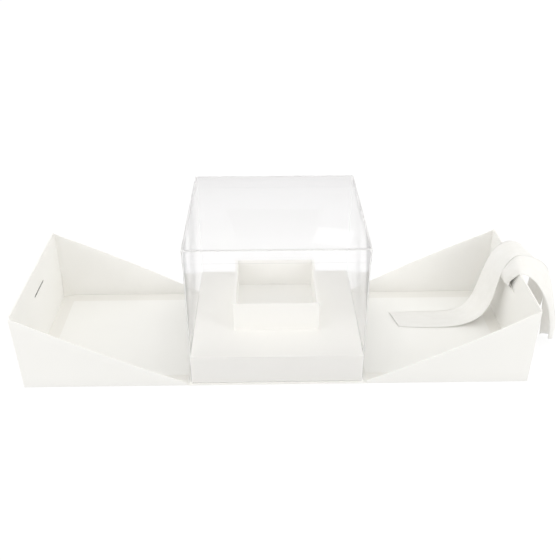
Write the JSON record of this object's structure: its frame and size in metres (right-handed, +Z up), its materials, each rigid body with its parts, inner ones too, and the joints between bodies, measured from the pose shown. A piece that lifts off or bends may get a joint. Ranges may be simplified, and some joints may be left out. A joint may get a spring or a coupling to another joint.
{
  "type": "presentation box",
  "caption": "White card box whose two doors open flat on either side of a clear box with a lift-off lid, a card riser and a small tray inside; satin ribbon through a slit.",
  "frame": {"origin": "on the table under the middle of the base board, which is the middle of its underside", "axes": "+X from the left door to the right door, which carries the ribbon; +Y from the front to the back; +Z up"},
  "size_m": [0.6468, 0.2004, 0.1782],
  "materials": {
    "white_board": "matte coated white card",
    "liner_card": "smooth matte white card",
    "inner_card": "matte white card, folded",
    "clear_film": "clear glossy folded sheet",
    "satin": "ivory white satin"
  },
  "bodies": {
    "base": {"base_board": "white_board", "left_fold": "white_board", "right_fold": "white_board", "clear_box_body": "clear_film"},
    "left_door": {"left_floor_board": "white_board", "left_floor_liner": "liner_card", "left_end_wall": "white_board", "left_front_wall": "white_board", "left_front_gusset": "white_board", "left_back_wall": "white_board", "left_back_gusset": "white_board"},
    "right_door": {"right_floor_board": "white_board", "right_floor_liner": "liner_card", "right_end_wall": "white_board", "right_front_wall": "white_board", "right_front_gusset": "white_board", "right_back_wall": "white_board", "right_back_gusset": "white_board", "ribbon": "satin"},
    "lid": {"clear_lid": "clear_film"},
    "riser": {"riser": "inner_card"},
    "tray": {"card_tray": "inner_card"}
  },
  "joints": [
    {"name": "left_door_fold", "type": "hinge", "parent": "base", "child": "left_door", "pos_m": [-0.10375, 0, 0.00075], "axis": [0, -1, 0], "range_deg": [-90, 0]},
    {"name": "right_door_fold", "type": "hinge", "parent": "base", "child": "right_door", "pos_m": [0.10375, 0, 0.00075], "axis": [0, 1, 0], "range_deg": [-90, 0], "deforming": ["ribbon"]},
    {"name": "lid_lift", "type": "slide", "parent": "base", "child": "lid", "axis": [0, 0, 1], "range_m": [0, 0.06]},
    {"name": "riser_lift", "type": "slide", "parent": "base", "child": "riser", "axis": [0, 0, 1], "range_m": [0, 0.03]},
    {"name": "tray_lift", "type": "slide", "parent": "riser", "child": "tray", "axis": [0, 0, 1], "range_m": [0, 0.06]}
  ]
}
